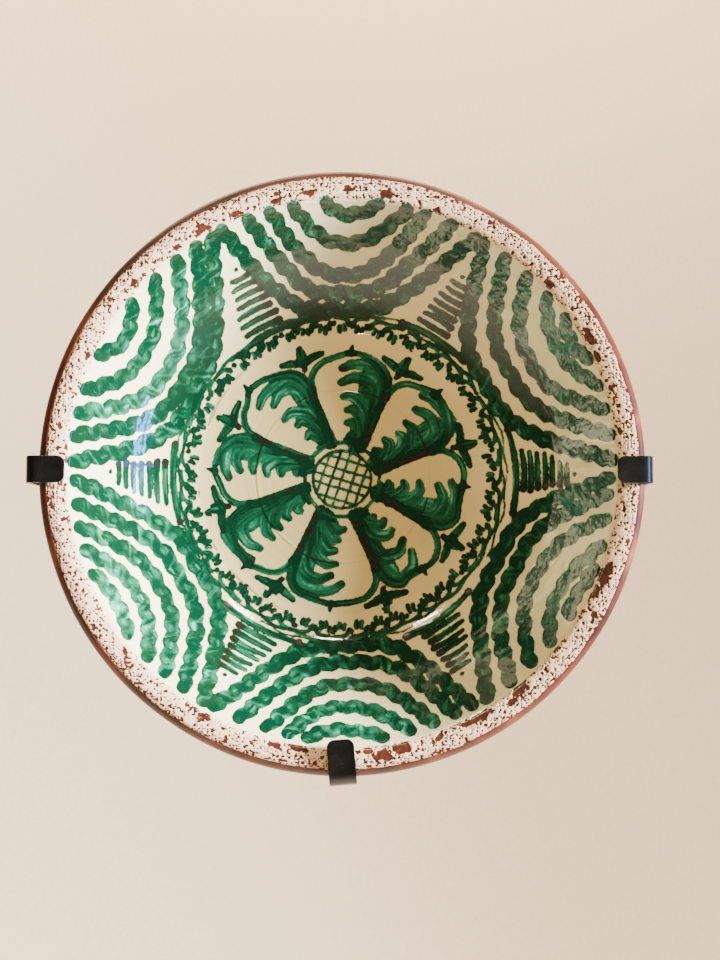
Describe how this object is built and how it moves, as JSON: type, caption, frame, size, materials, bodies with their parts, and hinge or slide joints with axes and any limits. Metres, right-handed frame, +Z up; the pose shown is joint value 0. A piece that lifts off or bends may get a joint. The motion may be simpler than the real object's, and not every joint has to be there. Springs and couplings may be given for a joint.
{
  "type": "wall-hung painted ceramic dish",
  "caption": "Large round earthenware basin, painted and glazed inside, bare at the lip, hung on a wall by black strap hooks that take its rim.",
  "frame": {"origin": "the point where the dish's own axis meets the wall that it hangs on", "axes": "+Y into the wall, so the dish faces -Y; +Z up; +X to the right for someone facing the dish"},
  "size_m": [0.4632, 0.1286, 0.4562],
  "materials": {
    "painted_earthenware": "cream glaze with copper green brushwork, gloss inside; bare terracotta lip and outside",
    "black_strap": "black powder coat, satin",
    "rubber_pad": "matt black",
    "zinc_screw": "bright zinc plate",
    "nylon_plug": "moulded, matt grey"
  },
  "bodies": {
    "hooks": {"hook_left": "black_strap", "hook_right": "black_strap", "hook_bottom": "black_strap", "pad_left": "rubber_pad", "pad_right": "rubber_pad", "pad_bottom": "rubber_pad", "screw_left_outer": "zinc_screw", "screw_left_inner": "zinc_screw", "screw_right_outer": "zinc_screw", "screw_right_inner": "zinc_screw", "screw_bottom_outer": "zinc_screw", "screw_bottom_inner": "zinc_screw", "wall_plug_left_outer": "nylon_plug", "wall_plug_left_inner": "nylon_plug", "wall_plug_right_outer": "nylon_plug", "wall_plug_right_inner": "nylon_plug", "wall_plug_bottom_outer": "nylon_plug", "wall_plug_bottom_inner": "nylon_plug"},
    "dish": {"dish": "painted_earthenware"}
  },
  "joints": [
    {"name": "dish_lift", "type": "slide", "parent": "hooks", "child": "dish", "axis": [0, 0, 1], "range_m": [0, 0.12]}
  ]
}
